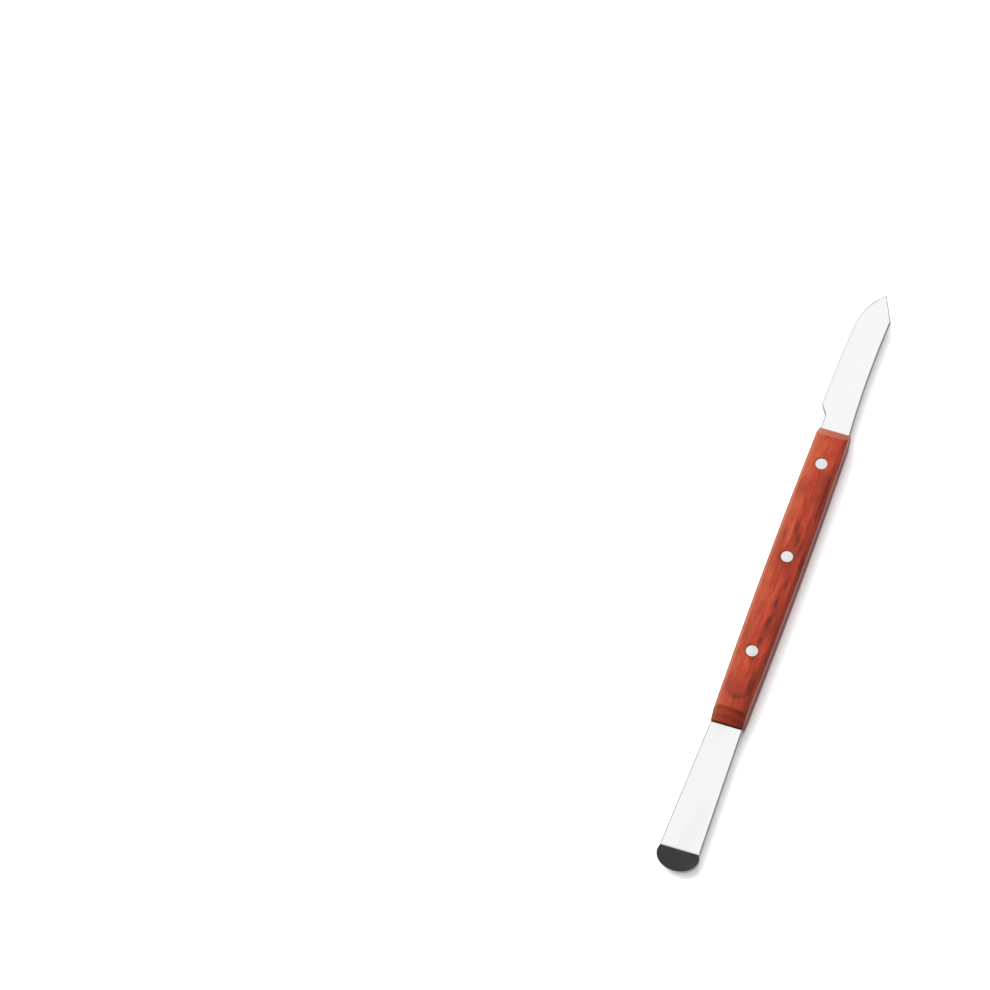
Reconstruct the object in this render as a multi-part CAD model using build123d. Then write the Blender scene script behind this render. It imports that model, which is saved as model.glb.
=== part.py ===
from build123d import *
from math import acos, degrees, sqrt
import os

"""A wood-handled double-ended sculpting spatula, in millimetres.

One strip of steel runs the whole length. It is a small knife at the +X end, a flat tang through the
handle, and a spatula with a turned-down lip at the -X end. Two wooden scales lie against the faces of
the tang, and three aluminium pins pass through all three layers and are sanded flush with the wood.

Frame: X runs along the tool, +X to the point of the knife. +Y is the side of the cutting edge, -Y the
side of the spine. Z is up, through the layers. The origin is the middle of the lower scale's outer
face, which is the face that the tool rests on.
"""

# ---------------------------------------------------------------- handle
handle_length = 86.2
handle_end_width = 8.1
handle_middle_width = 9.0
scale_thickness = 3.25
long_bevel_width = 0.9
long_bevel_depth = 0.9
end_bevel_length = 3.3
end_bevel_drop = 2.7

# ---------------------------------------------------------------- steel strip
strip_thickness = 1.6

# ---------------------------------------------------------------- knife, measured from the handle's end
knife_reach = 42.55
knife_point_offset = 0.05
knife_root_offset = 3.72
knife_waist_offset = 3.07
knife_clip_length = 7.65
knife_clip_offset = 3.42
knife_belly_length = 9.85
knife_belly_offset = 5.02
knife_edge_rise = 0.22
knife_heel_distance = 7.55
knife_heel_offset = 5.76
knife_throat_distance = 3.6
knife_throat_offset = 3.92
heel_direction = (1, 0.15)
edge_grind_width = 0.85
edge_grind_depth = 0.5

# ---------------------------------------------------------------- spatula, measured from the handle's end
spatula_reach = 34.95
spatula_bend_width = 10.0
spatula_lean = 0.2
lip_angle = 20.0
lip_bend_radius = 0.5
lip_length = 5.05
lip_flare = 0.28

# ---------------------------------------------------------------- pins
pin_diameter = 3.15
pin_rim_bevel = 0.1
pin_fit_clearance = 0.02
knife_pin_distance = 11.4
pin_pitch = 27.6
pin_names = ("knife_end_pin", "middle_pin", "spatula_end_pin")

# ---------------------------------------------------------------- worked out
handle_end = handle_length / 2
strip_bottom = scale_thickness
strip_top = strip_bottom + strip_thickness
tool_top = strip_top + scale_thickness
pin_places = [handle_end - knife_pin_distance - index * pin_pitch for index in range(len(pin_names))]


def handle_side(side):
    """Return the bowed long side of the handle, from its +X end to its -X end; side is +1 or -1."""
    return ThreePointArc(
        (handle_end, side * handle_end_width / 2),
        (0, side * handle_middle_width / 2),
        (-handle_end, side * handle_end_width / 2),
    )


def knife_spine():
    """Return the back of the knife: a small shoulder, a slightly hollow curve, then the straight clip."""
    clip_start = handle_end + knife_reach - knife_clip_length
    shoulder = Line((handle_end, -handle_end_width / 2), (handle_end, -knife_root_offset))
    hollow = ThreePointArc(
        shoulder @ 1,
        ((handle_end + clip_start) / 2, -knife_waist_offset),
        (clip_start, -knife_clip_offset),
    )
    clip = Line(hollow @ 1, (handle_end + knife_reach, -knife_point_offset))
    return [shoulder, hollow, clip]


def knife_edge():
    """Return the cutting side: belly, long edge, heel and the narrow throat at the handle."""
    heel = (handle_end + knife_heel_distance, knife_heel_offset)
    belly = (handle_end + knife_reach - knife_belly_length, knife_belly_offset)
    throat = (handle_end + knife_throat_distance, knife_throat_offset)
    middle = (
        (heel[0] + belly[0]) / 2,
        (heel[1] + belly[1]) / 2 + knife_edge_rise,
    )
    long_edge = ThreePointArc(heel, middle, belly)
    point = (handle_end + knife_reach, -knife_point_offset)
    belly_curve = TangentArc(belly, point, tangent=long_edge % 1)
    throat_curve = Spline(throat, heel, tangents=((1, 0), heel_direction))
    throat_side = Line((handle_end, knife_throat_offset), throat)
    shoulder = Line((handle_end, handle_end_width / 2), (handle_end, knife_throat_offset))
    return [belly_curve, long_edge, throat_curve, throat_side, shoulder]


def spatula_outline():
    """Return the three straight sides of the spatula's blade, which leans a little to +Y, up to its bend."""
    bend_line = -handle_end - spatula_reach
    corners = [
        (-handle_end, handle_end_width / 2),
        (bend_line, spatula_lean + spatula_bend_width / 2),
        (bend_line, spatula_lean - spatula_bend_width / 2),
        (-handle_end, -handle_end_width / 2),
    ]
    return [Line(start, end) for start, end in zip(corners, corners[1:])]


def pin_holes(bottom, top):
    """Return the holes for the pins through a layer that lies between two heights."""
    radius = pin_diameter / 2 + pin_fit_clearance
    height = top - bottom
    middle = (bottom + top) / 2
    return [Pos(place, 0, middle) * Cylinder(radius, height) for place in pin_places]


def bent_lip():
    """Return the lip: a short bend about Y, then a flat tongue with a rounded, slightly flared end."""
    bend_line = -handle_end - spatula_reach
    bend_axis = Axis((bend_line, 0, strip_bottom - lip_bend_radius), (0, -1, 0))
    bend_section = Plane.YZ.offset(bend_line) * Pos(spatula_lean, (strip_bottom + strip_top) / 2)
    bend = revolve(bend_section * Rectangle(spatula_bend_width, strip_thickness), bend_axis, lip_angle)

    # The rounded end is part of an ellipse, as wide at the bend as the blade and widest just past it.
    half_width = spatula_bend_width / 2 + lip_flare
    cosine = sqrt(1 - (spatula_bend_width / 2 / half_width) ** 2)
    half_length = lip_length / (1 + cosine)
    start = degrees(acos(cosine))
    centre = (bend_line - half_length * cosine, spatula_lean)
    rounded_end = EllipticalCenterArc(centre, half_length, half_width, start, arc_size=360 - 2 * start)
    closing = Line(rounded_end @ 1, rounded_end @ 0)
    tongue = extrude(Pos(0, 0, strip_bottom) * make_face([rounded_end, closing]), strip_thickness)
    return bend + tongue.rotate(bend_axis, lip_angle)


def steel_strip():
    """Return the knife, tang, spatula and lip as one piece of steel."""
    outline = knife_spine() + knife_edge() + spatula_outline() + [handle_side(1), handle_side(-1)]
    strip = extrude(Pos(0, 0, strip_bottom) * make_face(outline), strip_thickness)
    grind_start = handle_end + knife_heel_distance
    for face in (strip.faces().sort_by(Axis.Z)[-1], strip.faces().sort_by(Axis.Z)[0]):
        ground = face.edges().filter_by(
            lambda edge: edge.center().X > grind_start and edge.center().Y > 0
        )
        strip = chamfer(ground, edge_grind_width, edge_grind_depth, reference=face)
    return strip + bent_lip() - pin_holes(strip_bottom, strip_top)


def scale(bottom, outward):
    """Return a wooden scale that starts at a height and faces up (+1) or down (-1)."""
    closing = [
        Line((end, -handle_end_width / 2), (end, handle_end_width / 2)) for end in (-handle_end, handle_end)
    ]
    slab = extrude(make_face([handle_side(1), handle_side(-1)] + closing), scale_thickness)
    side_view = Polyline(
        (-handle_end, 0),
        (-handle_end, scale_thickness - end_bevel_drop),
        (-handle_end + end_bevel_length, scale_thickness),
        (handle_end - end_bevel_length, scale_thickness),
        (handle_end, scale_thickness - end_bevel_drop),
        (handle_end, 0),
        close=True,
    )
    slab &= extrude(Plane.XZ * make_face(side_view), handle_middle_width, both=True)
    outer_face = slab.faces().sort_by(Axis.Z)[-1]
    long_edges = outer_face.edges().sort_by(SortBy.LENGTH)[-2:]
    slab = chamfer(long_edges, long_bevel_width, long_bevel_depth, reference=outer_face)
    if outward < 0:
        slab = mirror(slab, Plane.XY)
    return Pos(0, 0, bottom) * slab


def pin(place):
    """Return a pin through both scales and the tang, flush with the wood and eased at its rims."""
    body = Pos(place, 0, tool_top / 2) * Cylinder(pin_diameter / 2, tool_top)
    return chamfer(body.edges().filter_by(GeomType.CIRCLE), pin_rim_bevel)


pieces = {
    "steel_strip": steel_strip(),
    "upper_scale": scale(strip_top, 1) - pin_holes(strip_top, tool_top),
    "lower_scale": scale(strip_bottom, -1) - pin_holes(0, strip_bottom),
}
for pin_name, pin_place in zip(pin_names, pin_places):
    pieces[pin_name] = pin(pin_place)

os.makedirs("parts", exist_ok=True)
for name, piece in pieces.items():
    export_step(piece, f"parts/{name}.step")
    print(f"{name}: {piece.volume:.2f} mm3")
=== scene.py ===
"""The looks of a wood-handled, double-ended sculpting spatula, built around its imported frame.

One strip of polished steel is a small knife at the +X end and a spatula with a turned-down lip at the
-X end. Two red-brown wooden scales lie on its tang, and three aluminium pins hold the three layers.
+Y is the side of the cutting edge, -Y the side of the spine, and Z is up. Lengths are in metres.
"""

import logging
from dataclasses import dataclass
from enum import Enum
from math import acos, cos, pi, radians, sin, sqrt
from typing import Any, Mapping, Sequence

import bmesh
import bpy
from mathutils import Matrix, Vector


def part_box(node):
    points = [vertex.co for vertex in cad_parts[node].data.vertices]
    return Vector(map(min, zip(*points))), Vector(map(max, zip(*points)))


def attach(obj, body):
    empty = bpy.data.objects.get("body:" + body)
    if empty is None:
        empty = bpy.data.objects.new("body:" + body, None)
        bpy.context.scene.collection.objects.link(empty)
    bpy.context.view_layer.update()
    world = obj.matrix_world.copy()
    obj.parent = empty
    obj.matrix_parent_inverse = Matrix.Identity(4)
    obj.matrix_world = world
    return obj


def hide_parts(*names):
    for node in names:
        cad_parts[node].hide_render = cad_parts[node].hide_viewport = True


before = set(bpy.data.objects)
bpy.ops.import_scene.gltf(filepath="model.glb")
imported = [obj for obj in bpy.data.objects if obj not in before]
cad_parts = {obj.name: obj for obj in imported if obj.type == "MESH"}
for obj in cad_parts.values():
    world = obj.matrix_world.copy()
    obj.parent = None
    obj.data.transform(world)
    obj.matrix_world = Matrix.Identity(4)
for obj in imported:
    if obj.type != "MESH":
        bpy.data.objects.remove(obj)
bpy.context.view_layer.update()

log = logging.getLogger("sculpting_spatula")

MM = 0.001
Colour = tuple[float, float, float, float]
Point2 = tuple[float, float]
Point3 = tuple[float, float, float]
Material = bpy.types.Material
Mesh = bpy.types.Mesh
Piece = bpy.types.Object
Socket = bpy.types.NodeSocket


# ---------------- node graphs


class Graph:
    """A shader or geometry node tree under construction."""

    def __init__(self, tree: bpy.types.NodeTree) -> None:
        """Take over a node tree and empty it."""
        self.tree = tree
        tree.nodes.clear()

    def node(
        self,
        kind: str,
        settings: Mapping[str, Any] | None = None,
        inputs: Mapping[str | int, Any] | None = None,
    ) -> bpy.types.Node:
        """Add one node, set its options and fill its sockets.

        Args:
            kind: The node's type name in Blender.
            settings: Options set on the node itself; "stops" holds a colour ramp's stops.
            inputs: What each socket gets, by name or number: a plain value, a socket or a Wire.

        Returns:
            The new node.
        """
        made = self.tree.nodes.new(kind)
        for name, value in (settings or {}).items():
            if name == "stops":
                self._set_stops(made, value)
            else:
                setattr(made, name, value)
        for key, value in (inputs or {}).items():
            self.feed(made.inputs[key], value)
        return made

    def feed(self, socket: Socket, value: Any) -> None:
        """Link a wire or a socket to an input, or write a plain value into it.

        Args:
            socket: The input.
            value: What it gets.
        """
        if isinstance(value, Wire):
            value = value.socket
        if isinstance(value, Socket):
            self.tree.links.new(value, socket)
        else:
            socket.default_value = value

    def wire(self, kind: str, settings: Mapping[str, Any], inputs: Mapping[str | int, Any]) -> "Wire":
        """Add one node and return its first output as a number for expressions."""
        return Wire(self, self.node(kind, settings, inputs).outputs[0])

    def split(self, vector: Socket) -> dict[str, "Wire"]:
        """Return the three coordinates of a vector as numbers, by axis."""
        parts = self.node("ShaderNodeSeparateXYZ", inputs={0: vector}).outputs
        return {axis: Wire(self, part) for axis, part in zip("XYZ", parts)}

    def joined(self, *coordinates: Any) -> Socket:
        """Return the vector that has these coordinates, and 0 for those left out."""
        return self.node("ShaderNodeCombineXYZ", inputs=dict(enumerate(coordinates))).outputs[0]

    @staticmethod
    def _set_stops(ramp: bpy.types.Node, stops: Sequence[tuple[float, Colour]]) -> None:
        """Give a colour ramp its stops.

        Args:
            ramp: The colour ramp's node.
            stops: The place and colour of each stop, in order.
        """
        elements = ramp.color_ramp.elements
        while len(elements) < len(stops):
            elements.new(0.5)
        for element, (position, colour) in zip(elements, stops):
            element.position = position
            element.color = colour


@dataclass(frozen=True)
class Wire:
    """A number that travels through a graph. Arithmetic on it adds Math nodes."""

    graph: Graph
    socket: Socket

    def _math(self, operation: str, *values: Any) -> "Wire":
        """Add one Math node with the given operation on the values."""
        return self.graph.wire("ShaderNodeMath", {"operation": operation}, dict(enumerate(values)))

    def __add__(self, other: Any) -> "Wire":
        """Return self + other."""
        return self._math("ADD", self, other)

    def __radd__(self, other: Any) -> "Wire":
        """Return other + self."""
        return self._math("ADD", other, self)

    def __sub__(self, other: Any) -> "Wire":
        """Return self - other."""
        return self._math("SUBTRACT", self, other)

    def __rsub__(self, other: Any) -> "Wire":
        """Return other - self."""
        return self._math("SUBTRACT", other, self)

    def __mul__(self, other: Any) -> "Wire":
        """Return self * other."""
        return self._math("MULTIPLY", self, other)

    def __rmul__(self, other: Any) -> "Wire":
        """Return other * self."""
        return self._math("MULTIPLY", other, self)

    def __truediv__(self, other: Any) -> "Wire":
        """Return self / other."""
        return self._math("DIVIDE", self, other)

    def __rtruediv__(self, other: Any) -> "Wire":
        """Return other / self."""
        return self._math("DIVIDE", other, self)

    def __pow__(self, other: Any) -> "Wire":
        """Return self to the power of other."""
        return self._math("POWER", self, other)

    def __gt__(self, other: Any) -> "Wire":
        """Return 1 where self is greater than other, and 0 elsewhere."""
        return self._math("GREATER_THAN", self, other)

    def __abs__(self) -> "Wire":
        """Return the size of self without its sign."""
        return self._math("ABSOLUTE", self)

    def sign(self) -> "Wire":
        """Return -1, 0 or 1."""
        return self._math("SIGN", self)

    def sine(self) -> "Wire":
        """Return the sine of self in radians."""
        return self._math("SINE", self)

    def root(self) -> "Wire":
        """Return the square root of self."""
        return self._math("SQRT", self)

    def least(self, other: Any) -> "Wire":
        """Return the smaller of self and other."""
        return self._math("MINIMUM", self, other)

    def most(self, other: Any) -> "Wire":
        """Return the larger of self and other."""
        return self._math("MAXIMUM", self, other)

    def ramp(self, start: float, stop: float) -> "Wire":
        """Return a smooth step from 0 at start to 1 at stop; start may be the larger of the two."""
        inputs = {"Value": self, "From Min": start, "From Max": stop}
        return self.graph.wire("ShaderNodeMapRange", {"interpolation_type": "SMOOTHSTEP"}, inputs)


def length(along: Wire, across: Wire) -> Wire:
    """Return the length of a line that goes this far along and across."""
    return (along * along + across * across).root()


@dataclass(frozen=True)
class Step:
    """A smooth change of a value: none of it is there at start, and the full amount at stop."""

    start: float
    stop: float
    amount: float = 1.0

    def at(self, wire: Wire) -> Wire:
        """Return how much of the amount is there where a wire has its value."""
        return wire.ramp(self.start, self.stop) * self.amount


@dataclass(frozen=True)
class Grain:
    """A noise: its cells to a millimetre along X, Y and Z, how many finer layers it has, and its seed."""

    cells: Point3
    layers: float = 3.0
    seed: float = 0.0


class Finish:
    """A material under construction, with its pattern read in millimetres of the piece's own space."""

    def __init__(self, name: str) -> None:
        """Make an empty material with its output and its Object coordinates in millimetres.

        Args:
            name: The material's name.
        """
        self.material = bpy.data.materials.new(name)
        self.material.use_nodes = True
        self.graph = Graph(self.material.node_tree)
        self.output = self.graph.node("ShaderNodeOutputMaterial")
        self.coordinates = self.graph.node("ShaderNodeTexCoord").outputs
        inputs = {"Vector": self.coordinates["Object"], "Scale": 1 / MM}
        scaled = self.graph.node("ShaderNodeVectorMath", {"operation": "SCALE"}, inputs)
        self.place = scaled.outputs["Vector"]
        self.x, self.y, self.z = self.graph.split(self.place).values()

    def noise(self, grain: Grain) -> Wire:
        """Return a noise as a number near 0.5, from a place in the pattern that its seed sets.

        Args:
            grain: The cells, layers and seed of the noise.

        Returns:
            The noise.
        """
        shift = (grain.seed, grain.seed * 0.7, grain.seed * 1.3)
        inputs = {"Vector": self.place, "Location": shift, "Scale": grain.cells}
        mapped = self.graph.node("ShaderNodeMapping", inputs=inputs)
        inputs = {"Vector": mapped.outputs["Vector"], "Scale": 1.0, "Detail": grain.layers}
        return self.graph.wire("ShaderNodeTexNoise", {"normalize": True}, inputs)

    def ripple(self, grain: Grain) -> Wire:
        """Return a noise as a number near 0, as much below it as above."""
        return self.noise(grain) - 0.5

    def facing(self, axis: str) -> Wire:
        """Return how squarely the surface faces along an axis of the piece, either way, from 0 to 1."""
        return abs(self.graph.split(self.coordinates["Normal"])[axis])

    def ramp_colour(self, factor: Wire, stops: Sequence[tuple[float, Colour]]) -> Socket:
        """Return the colour that a ramp gives to a factor."""
        return self.graph.node("ShaderNodeValToRGB", {"stops": stops}, {"Fac": factor}).outputs["Color"]

    def mix(self, factor: Wire, first: Any, second: Colour) -> Socket:
        """Mix two colours.

        Args:
            factor: How much of the second colour shows, from 0 to 1.
            first: The first colour or its socket.
            second: The second colour.

        Returns:
            The socket of the mixed colour.
        """
        mixed = self.graph.node("ShaderNodeMix", {"data_type": "RGBA"}, {0: factor, 6: first, 7: second})
        return mixed.outputs[2]

    def bump(self, height: Wire, depth: float, strength: float) -> Socket:
        """Return the normals of a surface that is raised by height times depth in metres."""
        inputs = {"Height": height, "Distance": depth, "Strength": strength}
        return self.graph.node("ShaderNodeBump", inputs=inputs).outputs["Normal"]

    def surface(self, inputs: Mapping[str, Any]) -> Material:
        """Close the material with a Principled shader.

        Args:
            inputs: What each of the shader's sockets gets.

        Returns:
            The material.
        """
        shader = self.graph.node("ShaderNodeBsdfPrincipled", inputs=inputs)
        self.graph.feed(self.output.inputs["Surface"], shader.outputs["BSDF"])
        return self.material


# ---------------- finishes


@dataclass(frozen=True)
class Fleck:
    """A dark fleck in the figure of the wood, in millimetres."""

    along: float
    across: float
    half_length: float
    half_width: float
    strength: float


@dataclass(frozen=True)
class Tongue:
    """The tongue-shaped figure in the wood at the spatula's end, in millimetres.

    It is half a ring, with two legs that run towards the knife and fade out.
    """

    centre: Point2 = (-34.2, -0.1)
    radius: float = 2.5
    waver: Grain = Grain((0.22, 0.45, 0.45), 3.0, 41.0)
    wander: float = 1.7
    line: Step = Step(1.15, 0.1)
    legs: Step = Step(-27.0, -32.5)
    inside: Step = Step(-0.6, -1.8)
    inside_end: Step = Step(-22.0, -30.0, 0.25)

    def on(self, wood: Finish) -> Wire:
        """Draw the tongue.

        Args:
            wood: The wood that it is part of.

        Returns:
            How dark its outline is, less how pale the wood is inside it.
        """
        before = (wood.x - self.centre[0]).least(0)
        across = wood.y - self.centre[1]
        outward = length(before, across) - self.radius + wood.ripple(self.waver) * self.wander
        outline = self.line.at(abs(outward)) * self.legs.at(wood.x)
        return outline - self.inside.at(outward) * self.inside_end.at(wood.x)


@dataclass(frozen=True)
class RedWood:
    """Oiled red-brown hardwood, sawn flat, with its grain along X. Its sizes are in millimetres.

    A tone says how far the wood is from its dark colour (0) to its pale one (1). The fields are in
    groups: where the handle is, colours, surface, figure (with painted shade towards the spine), growth
    layers, end grain, flecks, and wear and grime together with a painted highlight along the +Y edge and
    painted shade at the ends and around the pins.
    """

    pin_x: tuple[float, ...]
    pin_radius: float
    end: float
    half_width: float
    side_bow: float
    top: float

    pale: Colour = (0.315, 0.052, 0.018, 1)
    body: Colour = (0.205, 0.020, 0.007, 1)
    dark: Colour = (0.075, 0.009, 0.004, 1)
    # The next colour paints wear together with a highlight on the lit edge; the one after it paints grime
    # together with shade at the ends and pins.
    wear_and_highlight: Colour = (0.22, 0.088, 0.048, 1)
    grime_and_shade: Colour = (0.045, 0.010, 0.006, 1)

    roughness: float = 0.38
    pore_roughness: float = 0.2
    fibre_roughness: float = 0.12
    shine: float = 0.12
    relief: float = 0.02
    relief_strength: float = 0.6

    middle_tone: float = 0.66
    fibres: Grain = Grain((0.06, 1.5, 1.5), 4.0, 3.1)
    fibre_tone: float = 0.65
    threads: Grain = Grain((0.22, 7.0, 7.0), 3.0, 7.7)
    thread_tone: float = 0.35
    mottle: Grain = Grain((0.22, 0.75, 0.75), 3.0, 15.2)
    mottle_tone: float = 0.85
    pores: Grain = Grain((0.40, 5.5, 5.5), 2.0, 12.4)
    pore_cover: Step = Step(0.58, 0.72)
    pore_tone: float = 0.12
    tongue: Tongue = Tongue()
    tongue_tone: float = 0.26
    to_knife: Step = Step(14.0, 38.0, 0.10)
    # Lighter towards +Y and darker towards the spine: partly the wood's own tone, partly painted shade on
    # the side away from the light.
    edge_side_tone_and_light: Step = Step(-4.2, 2.5, 0.34)
    spine_tone_and_shade: float = 0.30

    layer_pitch: float = 1.35
    layer_rise: float = 0.05
    layer_bow: float = 0.012
    layer_warp: Grain = Grain((0.03, 0.12, 0.12), 2.0, 20.3)
    layer_wander: float = 0.9
    layer_sharpness: float = 1.6
    layer_tone: float = 0.20

    end_grain: Step = Step(0.25, 0.5)
    end_grain_calm: float = 0.75
    end_grain_tone: float = 0.20
    knife_end: Step = Step(0.0, 10.0, 0.35)

    flecks: tuple[Fleck, ...] = (
        Fleck(-25.3, -0.8, 1.0, 0.8, 0.6),
        Fleck(-20.3, -0.9, 1.1, 0.5, 0.7),
        Fleck(-14.6, -1.3, 1.3, 0.45, 0.95),
        Fleck(-9.2, -1.5, 1.6, 0.42, 0.85),
        Fleck(-3.8, -2.1, 1.2, 0.4, 0.7),
        Fleck(8.9, -1.2, 1.5, 0.4, 0.7),
        Fleck(12.6, 0.2, 2.0, 0.5, 0.75),
        Fleck(10.2, 2.4, 1.6, 0.35, 0.7),
        Fleck(19.3, 0.3, 1.5, 0.35, 0.6),
        Fleck(7.0, 0.8, 0.9, 0.35, 0.6),
        Fleck(22.0, -3.3, 6.0, 0.25, 0.9),
    )
    fleck_waver: Grain = Grain((0.25, 0.9, 0.9), 3.0, 31.0)
    fleck_wander: float = 1.6
    fleck_fall: Step = Step(1.8, 0.2)
    fleck_tone: float = 0.5

    # Paler along the +Y edge: scuffed wear together with a painted highlight on the lit bevel and the face
    # beside it.
    edge_bevel: float = 0.9
    bevel_blur: float = 0.06
    bevel_wear_and_highlight: float = 0.45
    scuffs: Grain = Grain((0.10, 2.0, 2.0), 3.0, 51.0)
    scuff_cover: Step = Step(0.25, 0.6)
    highlight_and_wear_reach: float = 4.0
    face_wear_and_highlight: float = 0.16
    # Darker at the ends, where the wood meets the steel, and around the pins: painted shade, with grime at
    # the pins; also darker at one corner of the knife end.
    end_shade: Step = Step(-0.20, -0.04, 0.55)
    dark_corner: float = 3.9
    corner_darkening: Step = Step(1.3, 0.2, 0.6)
    rim_shade_and_grime: Step = Step(0.22, 0.0, 0.75)

    def material(self) -> Material:
        """Build the wood: growth layers, fibres, pores, the flecks, wear and grime, and painted light: a
        highlight along the +Y edge, and shade towards the spine, at the ends and around the pins.

        Returns:
            The material.
        """
        wood = Finish("red_wood")
        fibres = wood.ripple(self.fibres)
        threads = wood.ripple(self.threads)
        pores = self.pore_cover.at(wood.noise(self.pores))
        end_grain = self.end_grain.at(wood.facing("X"))
        knife_end = self.knife_end.at(wood.x)
        figure = fibres * self.fibre_tone + threads * self.thread_tone
        figure = figure + wood.ripple(self.mottle) * self.mottle_tone
        tone = self.middle_tone + figure * (1 - end_grain * self.end_grain_calm)
        tone = tone - self._layers(wood) * self.layer_tone - self.tongue.on(wood) * self.tongue_tone
        tone = tone - self._flecks(wood) * self.fleck_tone - pores * self.pore_tone
        # Darker towards the spine side: partly wood tone, partly painted shade.
        tone = tone + self.to_knife.at(wood.x) + self.edge_side_tone_and_light.at(wood.y) - self.spine_tone_and_shade
        tone = tone - end_grain * (self.end_grain_tone - knife_end)
        colour = wood.ramp_colour(tone, [(0.0, self.dark), (0.5, self.body), (1.0, self.pale)])
        # Paler along the lit +Y edge: wear plus painted highlight.
        wear_and_highlight = self._wear_and_highlight_edge(wood) + end_grain * knife_end
        colour = wood.mix(wear_and_highlight.least(1), colour, self.wear_and_highlight)
        # Darker at the ends and around the pins: painted shade, with grime at the pins.
        colour = wood.mix(self._grime_and_shade_mask(wood), colour, self.grime_and_shade)
        relief = threads * 0.5 + fibres * 0.5 - pores
        inputs = {
            "Base Color": colour,
            "Roughness": self.roughness + pores * self.pore_roughness + fibres * self.fibre_roughness,
            "Specular IOR Level": self.shine,
            "Normal": wood.bump(relief, self.relief * MM, self.relief_strength),
        }
        return wood.surface(inputs)

    def _layers(self, wood: Finish) -> Wire:
        """Draw the growth layers.

        Args:
            wood: The wood under construction.

        Returns:
            1 in the dark late wood and 0 in the early wood.
        """
        warp = wood.ripple(self.layer_warp) * self.layer_wander
        bow = wood.y * wood.y * self.layer_bow
        count = wood.x * self.layer_rise - bow + (self.top - wood.z) / self.layer_pitch + warp
        wave = (count * 2 * pi).sine() * 0.5 + 0.5
        return wave ** self.layer_sharpness

    def _flecks(self, wood: Finish) -> Wire:
        """Draw the flecks, with a wavering outline.

        Args:
            wood: The wood under construction.

        Returns:
            How dark they are, from 0 to 1.
        """
        waver = wood.ripple(self.fleck_waver) * self.fleck_wander
        total = wood.x * 0
        for fleck in self.flecks:
            along = (wood.x - fleck.along) / fleck.half_length
            across = (wood.y - fleck.across) / fleck.half_width
            total = total.most(self.fleck_fall.at(length(along, across) + waver) * fleck.strength)
        return total

    def _wear_and_highlight_edge(self, wood: Finish) -> Wire:
        """Find where the wood is paler along its +Y side: scuffed wear and painted highlight on the bevel,
        and a fainter painted highlight with wear on the face beside it.

        Args:
            wood: The wood under construction.

        Returns:
            How far it is paled by wear and painted highlight, from 0 to 1.
        """
        past_edge = wood.y + wood.x * wood.x * (self.side_bow / self.end ** 2) - self.half_width
        bevel = Step(-self.edge_bevel - self.bevel_blur, -self.edge_bevel + self.bevel_blur, self.bevel_wear_and_highlight)
        face = Step(-self.highlight_and_wear_reach, -self.edge_bevel, self.face_wear_and_highlight)
        return bevel.at(past_edge) * self.scuff_cover.at(wood.noise(self.scuffs)) + face.at(past_edge)

    def _grime_and_shade_mask(self, wood: Finish) -> Wire:
        """Find where the wood is darkened: painted shade along its ends where they meet the steel, a darker
        patch at one corner of the knife end, and painted shade with grime around the pins' rims.

        Args:
            wood: The wood under construction.

        Returns:
            How far it is darkened, from 0 to 1.
        """
        corner = length(wood.x - self.end, wood.y - self.dark_corner)
        total = self.end_shade.at(abs(wood.x) - self.end).most(self.corner_darkening.at(corner))
        for place in self.pin_x:
            past_rim = length(wood.x - place, wood.y) - self.pin_radius
            total = total.most(self.rim_shade_and_grime.at(past_rim))
        return total


class Lay(Enum):
    """Which way a metal's fine scratches run."""

    ALONG = Grain((0.10, 14.0, 14.0), 4.0, 5.0)
    CROSSED = Grain((3.0, 3.0, 3.0), 4.0, 5.0)


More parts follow.
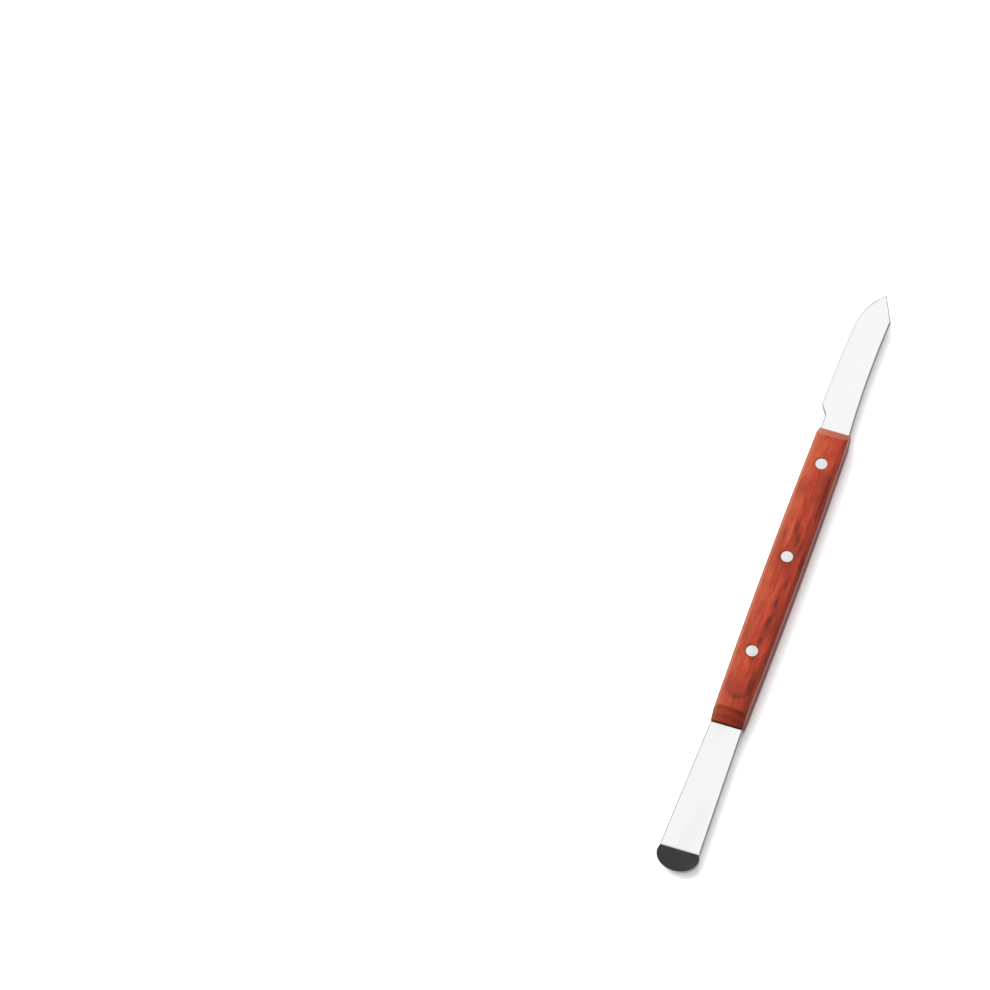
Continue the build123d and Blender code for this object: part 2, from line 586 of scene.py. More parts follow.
@dataclass(frozen=True)
class PolishedMetal:
    """Polished or sanded metal with fine scratches and faint smears.

    Where sanded_within isn't 0, its cut sides are a darker, duller grey: their shear-cut finish together
    with painted shade for the dark they mirror. Within that many millimetres of the middle, along X, it
    has been sanded together with the wood and turned brown: stain together with painted shade between
    the scales.
    """

    name: str
    colour: Colour
    roughness: float
    lay: Lay
    scratch_depth: float
    scratch_strength: float = 0.5
    scratch_roughness: float = 0.10
    smears: Grain = Grain((0.05, 0.22, 0.22), 3.0, 9.0)
    smear_cover: Step = Step(0.45, 0.75)
    smear_tint: float = 0.12
    smear_roughness: float = 0.05
    smeared: Colour = (0.42, 0.41, 0.40, 1)
    shaded_wall: Step = Step(0.90, 0.72)
    wall_roughness: float = 0.14
    # A darker grey for the cut sides: their finish together with painted shade.
    sheared_and_shaded: Colour = (0.22, 0.22, 0.225, 1)
    sanded_within: float = 0.0
    sanded_blur: float = 0.1
    sanded_roughness: float = 0.28
    stain: Grain = Grain((0.15, 1.0, 1.0), 3.0, 17.0)
    stain_cover: Step = Step(0.2, 0.7, 0.1)
    stain_least: float = 0.9
    # Brown for the steel within the handle: stain together with painted shade between the scales.
    browned_and_shaded: Colour = (0.070, 0.020, 0.012, 1)

    def material(self) -> Material:
        """Build the metal.

        Returns:
            The material.
        """
        metal = Finish(self.name)
        scratches = metal.ripple(self.lay.value)
        smears = self.smear_cover.at(metal.noise(self.smears))
        tint = metal.mix(smears * self.smear_tint, self.colour, self.smeared)
        roughness = self.roughness + smears * self.smear_roughness + scratches * self.scratch_roughness
        if self.sanded_within:
            # The cut sides get a darker grey: shear-cut finish together with painted shade for the dark they
            # mirror.
            shaded_wall = self.shaded_wall.at(metal.facing("Z"))
            tint = metal.mix(shaded_wall, tint, self.sheared_and_shaded)
            # Within the handle the steel turns brown: stain together with painted shade between the scales.
            sanded = Step(self.sanded_blur, -self.sanded_blur).at(abs(metal.x) - self.sanded_within)
            stain = self.stain_cover.at(metal.noise(self.stain)) + self.stain_least
            tint = metal.mix(sanded * stain, tint, self.browned_and_shaded)
            roughness = roughness + shaded_wall * self.wall_roughness + sanded * self.sanded_roughness
        inputs = {
            "Base Color": tint,
            "Metallic": 1.0,
            "Roughness": roughness,
            "Normal": metal.bump(scratches, self.scratch_depth, self.scratch_strength),
        }
        return metal.surface(inputs)


@dataclass(frozen=True)
class PaleFloor:
    """A plain pale floor with the faint unevenness of painted board."""

    colour: Colour = (0.90, 0.90, 0.90, 1)
    shaded: Colour = (0.80, 0.80, 0.80, 1)
    clouds: Grain = Grain((0.004, 0.004, 0.004), 2.0)
    unevenness: float = 0.03
    roughness: float = 0.8
    shine: float = 0.1

    def material(self) -> Material:
        """Build the floor's paint.

        Returns:
            The material.
        """
        paint = Finish("pale_floor")
        tint = paint.mix(paint.noise(self.clouds) * self.unevenness, self.colour, self.shaded)
        inputs = {"Base Color": tint, "Roughness": self.roughness, "Specular IOR Level": self.shine}
        return paint.surface(inputs)


# ---------------- shared mesh steps


def arc_through(half_chord: float | Wire, rise: float | Wire) -> float | Wire:
    """Return the radius of the arc that stands this high over half of its chord."""
    return (half_chord ** 2 + rise ** 2) / (2 * rise)


def circle_height(x: float, first: Point2, middle: Point2, last: Point2) -> float:
    """Find a point of the circle through three points, on the side where the middle one is.

    Args:
        x: The X of the point.
        first: The first of the three.
        middle: The second, which says on which side of the centre the point is.
        last: The third.

    Returns:
        The Y of the point.
    """
    (x1, y1), (x2, y2), (x3, y3) = first, middle, last
    turn = 2 * (x1 * (y2 - y3) + x2 * (y3 - y1) + x3 * (y1 - y2))
    s1, s2, s3 = x1 ** 2 + y1 ** 2, x2 ** 2 + y2 ** 2, x3 ** 2 + y3 ** 2
    centre_x = (s1 * (y2 - y3) + s2 * (y3 - y1) + s3 * (y1 - y2)) / turn
    centre_y = (s1 * (x3 - x2) + s2 * (x1 - x3) + s3 * (x2 - x1)) / turn
    radius = sqrt((x2 - centre_x) ** 2 + (y2 - centre_y) ** 2)
    side = 1 if y2 > centre_y else -1
    return centre_y + side * sqrt(radius ** 2 - (x - centre_x) ** 2)


def new_piece(name: str, mesh: Mesh) -> Piece:
    """Put a mesh into the scene as a piece at the origin.

    Args:
        name: The piece's name.
        mesh: Its mesh.

    Returns:
        The piece.
    """
    piece = bpy.data.objects.new(name, mesh)
    bpy.context.scene.collection.objects.link(piece)
    return piece


def smooth_by_angle(mesh: Mesh, degrees: float) -> None:
    """Shade a mesh smooth, but keep each edge sharp that turns by more than this many degrees."""
    mesh.shade_smooth()
    mesh.set_sharp_from_angle(angle=radians(degrees))


def even_shading(piece: Piece) -> None:
    """Keep the shading of large faces flat beside their eased edges."""
    evening = piece.modifiers.new("even_shading", "WEIGHTED_NORMAL")
    evening.keep_sharp = True


def baked(piece: Piece) -> Mesh:
    """Turn a piece into a plain mesh, as its modifiers leave it, and take the piece away.

    Args:
        piece: The piece with its modifiers.

    Returns:
        The mesh.
    """
    evaluated = piece.evaluated_get(bpy.context.evaluated_depsgraph_get())
    mesh = bpy.data.meshes.new_from_object(evaluated)
    bpy.data.objects.remove(piece)
    return mesh


class RuleGraph(Graph):
    """A geometry node group under construction, with a named input for each size of its piece."""

    KINDS = {float: "NodeSocketFloat", int: "NodeSocketInt", Material: "NodeSocketMaterial"}

    def __init__(self, name: str, sizes: Mapping[str, Any]) -> None:
        """Make a group that takes a geometry and these sizes and gives a geometry.

        Args:
            name: The group's name.
            sizes: The name of each input, and the value that the piece's modifier gives it.
        """
        super().__init__(bpy.data.node_groups.new(name, "GeometryNodeTree"))
        self.sizes = sizes
        self.identifiers = {}
        face = self.tree.interface
        face.new_socket("Geometry", in_out="INPUT", socket_type="NodeSocketGeometry")
        for label, value in sizes.items():
            socket = face.new_socket(label, in_out="INPUT", socket_type=self.KINDS[type(value)])
            self.identifiers[label] = socket.identifier
        face.new_socket("Geometry", in_out="OUTPUT", socket_type="NodeSocketGeometry")
        self.start = self.node("NodeGroupInput")
        self.stop = self.node("NodeGroupOutput")

    def values(self, *labels: str) -> list[Wire]:
        """Return some of the group's inputs as numbers."""
        return [Wire(self, self.start.outputs[label]) for label in labels]

    def position(self) -> list[Wire]:
        """Return the coordinates of the points that a Set Position node moves."""
        return list(self.split(self.node("GeometryNodeInputPosition").outputs[0]).values())

    def moved(self, geometry: Socket, *place: Any) -> Socket:
        """Return a geometry whose points are moved to new coordinates."""
        inputs = {"Geometry": geometry, "Position": self.joined(*place)}
        return self.node("GeometryNodeSetPosition", inputs=inputs).outputs[0]

    def repeated(self, part: Socket) -> Socket:
        """Repeat a part in a row along X, as the inputs First, Pitch and Count say.

        Args:
            part: The geometry that is repeated.

        Returns:
            The socket of the copies, realized as one mesh.
        """
        first, pitch, count = self.values("First", "Pitch", "Count")
        inputs = {"Count": count, "Start Location": self.joined(first), "Offset": self.joined(pitch)}
        row = self.node("GeometryNodeMeshLine", {"mode": "OFFSET"}, inputs)
        inputs = {"Points": row.outputs[0], "Instance": part}
        copies = self.node("GeometryNodeInstanceOnPoints", inputs=inputs)
        return self.node("GeometryNodeRealizeInstances", inputs={0: copies.outputs[0]}).outputs[0]

    def finish_on(self, piece: Piece, geometry: Socket) -> None:
        """Close the group with Realize Instances and Set Material, and add it to a piece.

        Args:
            piece: The piece that gets the group as a modifier, with the sizes as its inputs.
            geometry: The last geometry of the group.
        """
        real = self.node("GeometryNodeRealizeInstances", inputs={0: geometry})
        inputs = {"Geometry": real.outputs[0], "Material": self.start.outputs["Material"]}
        dressed = self.node("GeometryNodeSetMaterial", inputs=inputs)
        self.feed(self.stop.inputs[0], dressed.outputs[0])
        modifier = piece.modifiers.new(self.tree.name, "NODES")
        modifier.node_group = self.tree
        for label, value in self.sizes.items():
            modifier[self.identifiers[label]] = value


# ---------------- handle


@dataclass(frozen=True)
class PinRow:
    """Where the three pins stand, read from the frame."""

    names: tuple[str, ...] = ("spatula_end_pin", "middle_pin", "knife_end_pin")

    @property
    def places(self) -> list[float]:
        """Return the X of each pin, from the spatula's end on."""
        return [(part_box(name)[0][0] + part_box(name)[1][0]) / 2 for name in self.names]

    @property
    def radius(self) -> float:
        """Return the radius of a pin."""
        low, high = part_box(self.names[0])
        return (high[0] - low[0]) / 2

    def spacing(self) -> dict[str, Any]:
        """Return the row as inputs of a rule: the first pin's X, the step to the next and the count."""
        pitch = (self.places[-1] - self.places[0]) / (len(self.names) - 1)
        return {"First": self.places[0], "Pitch": pitch, "Count": len(self.names)}


@dataclass
class Scales:
    """The two wooden scales of the handle: bowed slabs with bevelled long edges and sloped ends."""

    pins: PinRow
    end_width: float = 8.1 * MM
    edge_bevel: float = 0.9 * MM
    end_bevel_length: float = 3.3 * MM
    end_bevel_drop: float = 2.7 * MM
    eased_edge: float = 0.14 * MM
    easing_segments: int = 3
    easing_angle: float = 25.0
    hole_clearance: float = 0.02 * MM
    hole_flare: float = 0.07 * MM
    hole_sides: int = 96
    stations: int = 67
    same_point: float = 0.01 * MM
    sharp_angle: float = 40.0

    def build(self, material: Material) -> list[Piece]:
        """Make both scales, hide their nodes and attach them to the root body.

        Args:
            material: The wood.

        Returns:
            The upper and the lower scale.
        """
        slab = self._slab(material)
        upper = ("upper_scale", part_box("upper_scale")[0][2], 1)
        lower = ("lower_scale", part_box("lower_scale")[1][2], -1)
        pieces = []
        for name, height, side in (upper, lower):
            mesh = slab.copy()
            mesh.transform(Matrix.Diagonal((1, 1, side, 1)))
            mesh.transform(Matrix.Translation((0, 0, height)))
            if side < 0:
                mesh.flip_normals()
            piece = new_piece(f"{name}_wood", mesh)
            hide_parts(name)
            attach(piece, "root")
            pieces.append(piece)
        return pieces

    def _slab(self, material: Material) -> Mesh:
        """Make one scale that lies on Z 0 and faces up, with eased edges and drilled pin holes.

        Args:
            material: The wood.

        Returns:
            The scale's mesh.
        """
        low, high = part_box("upper_scale")
        blank = new_piece("scale_blank", bpy.data.meshes.new("scale_blank"))
        shape = {
            "Length": high[0] - low[0],
            "End width": self.end_width,
            "Middle width": high[1] - low[1],
            "Thickness": high[2] - low[2],
            "Edge bevel": self.edge_bevel,
            "Slope length": self.end_bevel_length,
            "Slope drop": self.end_bevel_drop,
            "Stations": self.stations,
            "Material": material,
        }
        self._shape(blank, shape)
        easing = blank.modifiers.new("eased_edges", "BEVEL")
        easing.width = self.eased_edge
        easing.segments = self.easing_segments
        easing.limit_method = "ANGLE"
        easing.angle_limit = radians(self.easing_angle)
        holes = {
            "Radius": self.pins.radius + self.hole_clearance,
            "Flare": self.hole_flare,
            "Thickness": high[2] - low[2],
            "Sides": self.hole_sides,
            "Material": material,
        }
        self._drill(blank, holes | self.pins.spacing())
        even_shading(blank)
        mesh = baked(blank)
        smooth_by_angle(mesh, self.sharp_angle)
        return mesh

    def _shape(self, blank: Piece, sizes: Mapping[str, Any]) -> None:
        """Shape a box of points into the bowed, bevelled slab.

        Args:
            blank: The empty piece that takes the shape.
            sizes: The sizes of the slab, as inputs of the rule.
        """
        rule = RuleGraph("scale_slab", sizes)
        whole_length, end_width, middle_width, thickness = rule.values(
            "Length", "End width", "Middle width", "Thickness"
        )
        bevel, slope_length, slope_drop, stations = rule.values(
            "Edge bevel", "Slope length", "Slope drop", "Stations"
        )
        inputs = {"Size": (2, 2, 1), "Vertices X": stations, "Vertices Y": 4, "Vertices Z": 2}
        box = rule.node("GeometryNodeMeshCube", inputs=inputs).outputs["Mesh"]
        x, y, z = rule.position()

        # X, Y and Z of the box run from -1 to 1 (Z to half of that). Towards each end, the slope starts
        # at the third last station, and at the next one it has cut the long bevel away.
        step = 2 / (stations - 1)
        away = abs(x)
        at_end = away > 1 - step * 0.5
        at_break = (away > 1 - step * 1.5) - at_end
        straight = (away / (1 - step * 2)).least(1) * (whole_length / 2 - slope_length)
        along = straight + at_end * slope_length + at_break * slope_length * bevel / slope_drop
        drop = at_end * slope_drop + at_break * bevel

        rise = (middle_width - end_width) / 2
        radius = arc_through(whole_length / 2, rise)
        half_width = middle_width / 2 - radius + (radius * radius - along * along).root()
        at_side = abs(y) > 0.9
        across = half_width - (1 - at_side) * (bevel - drop).most(0)
        top = thickness - drop.most(at_side * bevel)
        shaped = rule.moved(box, x.sign() * along, y.sign() * across, (z > 0) * top)
        inputs = {"Geometry": shaped, "Distance": self.same_point}
        rule.finish_on(blank, rule.node("GeometryNodeMergeByDistance", inputs=inputs).outputs[0])

    @staticmethod
    def _drill(blank: Piece, sizes: Mapping[str, Any]) -> None:
        """Drill the row of pin holes, each flared a little at the outer face.

        Args:
            blank: The scale that is drilled.
            sizes: The sizes of the holes, as inputs of the rule.
        """
        rule = RuleGraph("pin_holes", sizes)
        radius, flare, thickness, sides = rule.values("Radius", "Flare", "Thickness", "Sides")
        inputs = {"Vertices": sides, "Side Segments": 2, "Radius": radius, "Depth": 2.0}
        drill = rule.node("GeometryNodeMeshCylinder", inputs=inputs).outputs["Mesh"]
        x, y, z = rule.position()

        # The cylinder has three rows of points. The middle one is where the flare starts, the upper one
        # stands clear of the outer face, and the lower one below the inner face.
        above = z > 0.5
        below = -1 * z > 0.5
        widened = 1 + above * flare * 2 / radius
        height = thickness - flare + above * flare * 2 - below * thickness * 2
        drill = rule.moved(drill, x * widened, y * widened, height)
        inputs = {"Mesh 1": rule.start.outputs["Geometry"], "Mesh 2": rule.repeated(drill)}
        settings = {"operation": "DIFFERENCE", "solver": "EXACT"}
        rule.finish_on(blank, rule.node("GeometryNodeMeshBoolean", settings, inputs).outputs[0])


@dataclass
class Pins:
    """The three aluminium pins, filed flush with the wood, with eased rims and a faint crown."""

    pins: PinRow
    rim: float = 0.1 * MM
    crown: float = 0.02 * MM
    sides: int = 72
    rings: int = 5
    sharp_angle: float = 30.0

    def build(self, material: Material) -> Piece:
        """Make the row of pins as one piece, hide the three nodes and attach it to the root body.

        Args:
            material: The metal.

        Returns:
            The piece.
        """
        bottom, top = (corner[2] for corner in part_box(self.pins.names[0]))
        blank = new_piece("pins_blank", bpy.data.meshes.new("pins_blank"))
        sizes = {
            "Radius": self.pins.radius,
            "Height": top - bottom,
            "Rim": self.rim,
            "Crown": self.crown,
            "Sides": self.sides,
            "Rings": self.rings,
            "Material": material,
        }
        self._shape(blank, sizes | self.pins.spacing())
        mesh = baked(blank)
        smooth_by_angle(mesh, self.sharp_angle)
        piece = new_piece("handle_pins", mesh)
        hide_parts(*self.pins.names)
        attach(piece, "root")
        return piece

    @staticmethod
    def _shape(blank: Piece, sizes: Mapping[str, Any]) -> None:
        """Turn a cylinder's points into a pin and repeat it along the handle.

        Args:
            blank: The empty piece that takes the shape.
            sizes: The sizes of the pins, as inputs of the rule.
        """
        rule = RuleGraph("pin_row", sizes)
        radius, tall, rim, crown = rule.values("Radius", "Height", "Rim", "Crown")
        sides, rings = rule.values("Sides", "Rings")
        inputs = {"Vertices": sides, "Side Segments": 4, "Fill Segments": rings, "Radius": 1.0, "Depth": 2.0}
        blank_pin = rule.node("GeometryNodeMeshCylinder", inputs=inputs).outputs["Mesh"]
        x, y, z = rule.position()

        # The cylinder has five rows of points. At Z -1 and 1 they become the pin's faces, and at -0.5
        # and 0.5 the lower line of its eased rims.
        at_end = abs(z) > 0.9
        at_rim = (abs(z) > 0.4) - at_end
        domed = (1 - (x * x + y * y)) * crown
        height = tall / 2 - crown - at_rim * rim + at_end * domed
        height = height * (abs(z) > 0.1) * z.sign() + tall / 2
        wide = radius - at_end * rim
        rule.finish_on(blank, rule.repeated(rule.moved(blank_pin, x * wide, y * wide, height)))


# ---------------- steel


@dataclass(frozen=True)
class Station:
    """One cross-section of the steel strip: where it is, how wide it is and how it is bent down."""

    x: float
    spine: float
    edge: float
    ground_edge: float | None = None
    ground_slope: float = 0.0
    turned: float = 0.0
    inset_x: float = 0.0


@dataclass
class SteelStrip:
    """The one strip of steel: knife, tang, spatula blade and its turned-down lip."""

    handle_end: float
    bottom: float
    top: float
    handle_end_width: float = 8.1 * MM
    handle_middle_width: float = 9.0 * MM
    reach: float = 42.55 * MM
    point_offset: float = 0.05 * MM
    root_offset: float = 3.72 * MM
    waist_offset: float = 3.07 * MM
    clip_length: float = 7.65 * MM
    clip_offset: float = 3.42 * MM
    belly_length: float = 9.85 * MM
    belly_offset: float = 5.02 * MM
    edge_rise: float = 0.22 * MM
    heel_distance: float = 7.55 * MM
    heel_offset: float = 5.76 * MM
    heel_slope: float = 0.15
    throat_distance: float = 3.6 * MM
    throat_offset: float = 3.92 * MM
    grind_width: float = 0.85 * MM
    grind_depth: float = 0.5 * MM
    spatula_reach: float = 34.95 * MM
    bend_width: float = 10.0 * MM
    lean: float = 0.2 * MM
    lip_angle: float = 20.0
    lip_bend_radius: float = 0.5 * MM
    lip_length: float = 5.05 * MM
    lip_flare: float = 0.28 * MM
    eased_edge: float = 0.3 * MM
    lip_rim: float = 0.12 * MM
    round_middle: float = 0.45
    blade_sections: int = 90
    throat_sections: int = 24
    tang_sections: int = 64
    bend_sections: int = 8
    lip_sections: int = 48
    slope_step: float = 0.01 * MM
    same_point: float = 0.002 * MM
    shortest_edge: float = 0.001 * MM
    sharp_angle: float = 15.0

    def __post_init__(self) -> None:
        """Work out where the knife's point, its two corners and the spatula's bend are along X."""
        self.tip = self.handle_end + self.reach
        self.clip_start = self.tip - self.clip_length
        self.belly = self.tip - self.belly_length
        self.heel = self.handle_end + self.heel_distance
        self.bend_line = -self.handle_end - self.spatula_reach

    def build(self, material: Material) -> Piece:
        """Loft the strip through its stations, hide its node and attach it to the root body.

        Args:
            material: The steel.

        Returns:
            The piece.
        """
        maker = bmesh.new()
        stations = self._knife() + self._tang() + self._spatula() + self._lip()
        loops = [[maker.verts.new(point) for point in self._section(station)] for station in stations]
        for first, second in zip(loops, loops[1:]):
            for index, vertex in enumerate(first):
                following = (index + 1) % len(first)
                maker.faces.new((vertex, first[following], second[following], second[index]))
        maker.faces.new(loops[0])
        maker.faces.new(list(reversed(loops[-1])))
        bmesh.ops.remove_doubles(maker, verts=maker.verts, dist=self.same_point)
        bmesh.ops.dissolve_degenerate(maker, edges=maker.edges, dist=self.shortest_edge)
        bmesh.ops.recalc_face_normals(maker, faces=maker.faces)
        mesh = bpy.data.meshes.new("steel_strip_polished")
        maker.to_mesh(mesh)
        maker.free()
        mesh.materials.append(material)
        smooth_by_angle(mesh, self.sharp_angle)
        blank = new_piece("steel_blank", mesh)
        even_shading(blank)
        piece = new_piece("steel_strip_polished", baked(blank))
        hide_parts("steel_strip")
        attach(piece, "root")
        return piece

    def _knife(self) -> list[Station]:
        """Lay out the knife.

        Returns:
            Its sections, from the point to the handle.
        """
        found = []
        turns = [pi / 2 * index / self.blade_sections for index in range(self.blade_sections + 1)]
        places = [self.heel + (self.tip - self.heel) * cos(turn) for turn in turns]
        places += [self.clip_start, self.belly]
        for x in sorted(places, reverse=True):
            ground = self._edge(x)
            slope = (self._edge(x - self.slope_step) - ground) / self.slope_step
            found.append(Station(x, self._spine(x), ground, ground, slope))
        for index in range(1, self.throat_sections + 1):
            x, y = self._throat(1 - index / self.throat_sections)
            found.append(Station(x, self._spine(x), y, self._long_edge(x)))
        found.append(Station(self.handle_end, self._spine(self.handle_end), self.throat_offset))
        return found

    def _spine(self, x: float) -> float:
        """Follow the knife's back: a slightly hollow curve, then the straight clip.

        Args:
            x: A place along the knife.

        Returns:
            The Y of the back.
        """
        if x > self.clip_start:
            share = (x - self.clip_start) / self.clip_length
            return -self.clip_offset + share * (self.clip_offset - self.point_offset)
        near = (self.handle_end, -self.root_offset)
        waist = ((self.handle_end + self.clip_start) / 2, -self.waist_offset)
        return circle_height(x, near, waist, (self.clip_start, -self.clip_offset))

    def _edge(self, x: float) -> float:
        """Follow the cutting edge: the long edge, then the belly to the point.

        Args:
            x: A place along the knife.

        Returns:
            The Y of the edge.
        """
        if x <= self.belly:
            return self._long_edge(x)
        before = self._long_edge(self.belly - self.slope_step)
        slope = (self._long_edge(self.belly) - before) / self.slope_step
        run = self.belly_length
        fall = -self.point_offset - self.belly_offset
        normal = Vector((slope, -1)).normalized()
        radius = (run ** 2 + fall ** 2) / (2 * (normal.x * run + normal.y * fall))
        along = x - self.belly - normal.x * radius
        return self.belly_offset + normal.y * radius + sqrt(max(radius ** 2 - along ** 2, 0))

    def _long_edge(self, x: float) -> float:
        """Follow the long, almost straight part of the cutting edge, or its continuation.

        Args:
            x: A place along the knife.

        Returns:
            The Y of that part.
        """
        heel = (self.heel, self.heel_offset)
        belly = (self.belly, self.belly_offset)
        middle = ((heel[0] + belly[0]) / 2, (heel[1] + belly[1]) / 2 + self.edge_rise)
        return circle_height(x, heel, middle, belly)

    def _throat(self, share: float) -> Point2:
        """Follow the throat's curve.

        Args:
            share: The share of the way from the throat to the heel.

        Returns:
            The point's X and Y.
        """
        start = Vector((self.handle_end + self.throat_distance, self.throat_offset))
        stop = Vector((self.heel, self.heel_offset))
        span = (stop - start).length
        leave = Vector((1, 0)) * span
        arrive = Vector((1, self.heel_slope)).normalized() * span
        square = share * share
        cube = square * share
        point = start * (2 * cube - 3 * square + 1) + stop * (3 * square - 2 * cube)
        point += leave * (cube - 2 * square + share) + arrive * (cube - square)
        return point.x, point.y

    def _tang(self) -> list[Station]:
        """Lay out the tang between the scales, whose sides bow with the handle.

        Returns:
            Its sections, from the knife's end to the spatula's.
        """
        rise = (self.handle_middle_width - self.handle_end_width) / 2
        radius = arc_through(self.handle_end, rise)
        found = []
        for index in range(self.tang_sections + 1):
            x = self.handle_end * (1 - 2 * index / self.tang_sections)
            half_width = self.handle_middle_width / 2 - radius + sqrt(radius ** 2 - x ** 2)
            found.append(Station(x, -half_width, half_width))
        return found

    def _spatula(self) -> list[Station]:
        """Lay out the spatula, whose straight sides run from the tang's end to the short bend.

        Returns:
            The sections of the bend.
        """
        spine = self.lean - self.bend_width / 2
        edge = self.lean + self.bend_width / 2
        step = radians(self.lip_angle) / self.bend_sections
        turns = [step * index for index in range(self.bend_sections + 1)]
        return [Station(self.bend_line, spine, edge, turned=turn) for turn in turns]

    def _lip(self) -> list[Station]:
        """Lay out the lip's rounded end, which is part of an ellipse.

        Returns:
            Its sections, from the bend to the tip.
        """
        half_width = self.bend_width / 2 + self.lip_flare
        cosine = sqrt(1 - (self.bend_width / 2 / half_width) ** 2)
        half_length = self.lip_length / (1 + cosine)
        start = acos(cosine)
        turned = radians(self.lip_angle)
        found = []
        for index in range(1, self.lip_sections + 1):
            angle = start + (pi - start) * index / self.lip_sections
            x = self.bend_line + half_length * (cos(angle) - cosine)
            wide = half_width * sin(angle)
            inset = max(-cos(angle) * self.lip_rim, 0)
            found.append(Station(x, self.lean - wide, self.lean + wide, turned=turned, inset_x=inset))
        return found

    def _section(self, station: Station) -> list[Point3]:
        """Return the loop of points of one cross-section, bent down where the lip is.

        Args:
            station: The cross-section.

        Returns:
            The points, over the top from the spine to the edge and back underneath.
        """
        width = station.edge - station.spine
        ease = min(self.lip_rim if station.turned else self.eased_edge, width * 0.3)
        partly = ease * self.round_middle
        crest = station.edge - min(self._grind_across(station), width * 0.5)
        rows = [
            (station.spine, ease, 0.0),
            (station.spine + partly, partly, 1 - self.round_middle),
            (station.spine + ease, 0.0, 1.0),
            (crest, 0.0, 1.0),
            (station.edge - ease, 0.0, 1.0),
            (station.edge - partly, partly, 1 - self.round_middle),
            (station.edge, ease, 0.0),
        ]
        middle = (self.bottom + self.top) / 2
        upper = []
        for y, lowered, inset in rows:
            half = (self.top - self.bottom) / 2 - self._ground_away(station, y) - lowered
            upper.append((station.x + station.inset_x * inset, y, half))
        lower = [(x, y, -half) for x, y, half in reversed(upper)]
        return [self._bent((x, y, middle + half), station.turned) for x, y, half in upper + lower]

    def _grind_across(self, station: Station) -> float:
        """Return the width of the grind along Y, which is wider where the edge runs at a slant."""
        return self.grind_width * sqrt(1 + station.ground_slope ** 2)

    def _ground_away(self, station: Station, y: float) -> float:
        """Find how much the grind has taken from each face.

        Args:
            station: The cross-section.
            y: A place across it.

        Returns:
            The depth that is gone.
        """
        if station.ground_edge is None:
            return 0.0
        share = 1 - (station.ground_edge - y) / self._grind_across(station)
        return self.grind_depth * min(max(share, 0.0), 1.0)

    def _bent(self, point: Point3, turned: float) -> Point3:
        """Turn a point down about the axis of the bend.

        Args:
            point: The point as it is on the flat strip.
            turned: The angle in radians.

        Returns:
            The point.
        """
        if turned == 0:
            return point
        axis_z = self.bottom - self.lip_bend_radius
        along, up = point[0] - self.bend_line, point[2] - axis_z
        x = self.bend_line + along * cos(turned) - up * sin(turned)
        return x, point[1], axis_z + along * sin(turned) + up * cos(turned)


# ---------------- stage


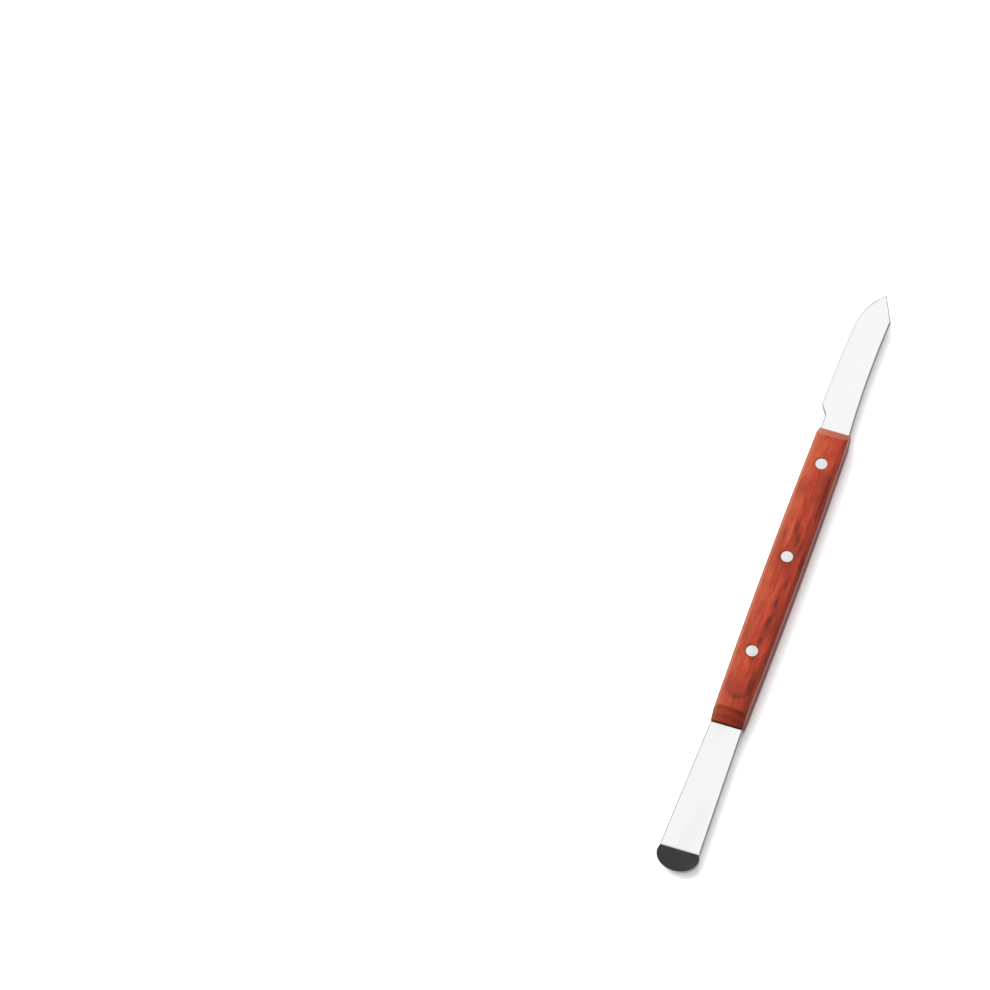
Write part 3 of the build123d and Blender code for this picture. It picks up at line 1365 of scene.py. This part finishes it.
@dataclass
class Studio:
    """A pale floor, a soft bright side, and the camera."""

    floor_size: float = 24.0
    sky: float = 0.80
    panel: float = 1.86
    panel_direction: Point3 = (0.45, 0.60, 0.65)
    panel_inner: float = 30.0
    panel_outer: float = 44.0
    card: float = 0.05
    card_direction: Point3 = (-0.20, 0.20, 0.96)
    card_inner: float = 10.5
    card_outer: float = 14.5
    key_direction: Point3 = (0.18, 0.42, 0.88)
    key_power: float = 76.0
    fill_direction: Point3 = (-0.35, -0.10, 0.93)
    fill_power: float = 10.0
    lamp_size: float = 2.4
    lamp_distance: float = 2.2
    camera_place: Point3 = (-0.75415, -0.22224, 1.37641)
    camera_right: Point3 = (0.32667, -0.94482, -0.02425)
    camera_up: Point3 = (0.81801, 0.26979, 0.50803)
    lens: float = 236.36
    film_width: float = 36.0
    nearest: float = 0.05
    farthest: float = 20.0

    def build(self) -> None:
        """Set up the floor, the light and the camera."""
        self._floor()
        self._sky()
        self._lamp("key", self.key_direction, self.key_power)
        self._lamp("fill", self.fill_direction, self.fill_power)
        self._camera()
        bpy.context.scene.view_settings.view_transform = "Standard"

    def _floor(self) -> None:
        """Lay the floor at the height that the tool rests on."""
        maker = bmesh.new()
        bmesh.ops.create_grid(maker, x_segments=1, y_segments=1, size=self.floor_size / 2)
        mesh = bpy.data.meshes.new("floor")
        maker.to_mesh(mesh)
        maker.free()
        mesh.materials.append(PaleFloor().material())
        floor = new_piece("floor", mesh)

    def _sky(self) -> None:
        """Surround the tool with even light, a large bright panel and a small dark card overhead."""
        world = bpy.data.worlds.new("studio")
        world.use_nodes = True
        graph = Graph(world.node_tree)
        panel = self._patch(graph, self.panel_direction, self.panel_inner, self.panel_outer)
        card = self._patch(graph, self.card_direction, self.card_inner, self.card_outer)
        strength = self.sky + panel * (self.panel - self.sky) + card * (self.card - self.sky)
        light = graph.node("ShaderNodeBackground", inputs={"Color": (1, 1, 1, 1), "Strength": strength})
        graph.node("ShaderNodeOutputWorld", inputs={"Surface": light.outputs[0]})
        bpy.context.scene.world = world

    @staticmethod
    def _patch(graph: Graph, toward: Point3, inner: float, outer: float) -> Wire:
        """Return a soft round patch of the surroundings.

        Args:
            graph: The world's graph.
            toward: The direction from the tool to the middle of the patch.
            inner: The angle in degrees up to which the patch is full.
            outer: The angle in degrees at which it ends.

        Returns:
            1 inside the patch and 0 outside it.
        """
        direction = graph.node("ShaderNodeTexCoord").outputs["Generated"]
        middle = Vector(toward).normalized()
        facing = graph.node("ShaderNodeVectorMath", {"operation": "DOT_PRODUCT"}, {0: direction, 1: middle})
        return Wire(graph, facing.outputs["Value"]).ramp(cos(radians(outer)), cos(radians(inner)))

    def _lamp(self, name: str, toward: Point3, power: float) -> None:
        """Hang a large square lamp that lights the tool but isn't mirrored in it.

        Args:
            name: The lamp's name.
            toward: The direction from the tool to the lamp.
            power: The lamp's power in watts.
        """
        lamp = bpy.data.lights.new(name, "AREA")
        lamp.energy = power
        lamp.size = self.lamp_size
        holder = bpy.data.objects.new(name, lamp)
        direction = Vector(toward).normalized()
        holder.location = direction * self.lamp_distance
        holder.rotation_euler = direction.to_track_quat("Z", "Y").to_euler()
        holder.visible_glossy = False
        bpy.context.scene.collection.objects.link(holder)

    def _camera(self) -> None:
        """Stand the camera above the spatula's end, with the tool at the right of its view."""
        camera = bpy.data.cameras.new("camera")
        camera.sensor_width = self.film_width
        camera.lens = self.lens
        camera.clip_start = self.nearest
        camera.clip_end = self.farthest
        holder = bpy.data.objects.new("camera", camera)
        right = Vector(self.camera_right).normalized()
        up = Vector(self.camera_up).normalized()
        turn = Matrix((right, up, right.cross(up))).transposed().to_4x4()
        holder.matrix_world = Matrix.Translation(self.camera_place) @ turn
        bpy.context.scene.collection.objects.link(holder)
        bpy.context.scene.camera = holder


def report(piece: Piece) -> None:
    """Log a finished piece and its number of faces."""
    log.info("%s: %d faces", piece.name, len(piece.data.polygons))


def main() -> None:
    """Build the tool and the studio."""
    logging.basicConfig(level=logging.INFO, format="%(name)s %(message)s")
    pins = PinRow()
    low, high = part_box("upper_scale")
    scales = Scales(pins)
    wood = RedWood(
        pin_x=tuple(place / MM for place in pins.places),
        pin_radius=pins.radius / MM,
        end=high[0] / MM,
        half_width=high[1] / MM,
        side_bow=(high[1] - scales.end_width / 2) / MM,
        top=high[2] / MM,
    ).material()
    steel = PolishedMetal(
        "polished_steel",
        colour=(0.51, 0.51, 0.51, 1),
        roughness=0.15,
        lay=Lay.ALONG,
        scratch_depth=0.002 * MM,
        sanded_within=high[0] / MM,
    )
    aluminium = PolishedMetal(
        "pin_metal",
        colour=(0.49, 0.48, 0.49, 1),
        roughness=0.26,
        lay=Lay.CROSSED,
        scratch_depth=0.003 * MM,
    )

    report(SteelStrip(high[0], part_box("lower_scale")[1][2], low[2]).build(steel.material()))
    for piece in scales.build(wood):
        report(piece)
    report(Pins(pins).build(aluminium.material()))
    Studio().build()


if __name__ == "__main__":
    main()
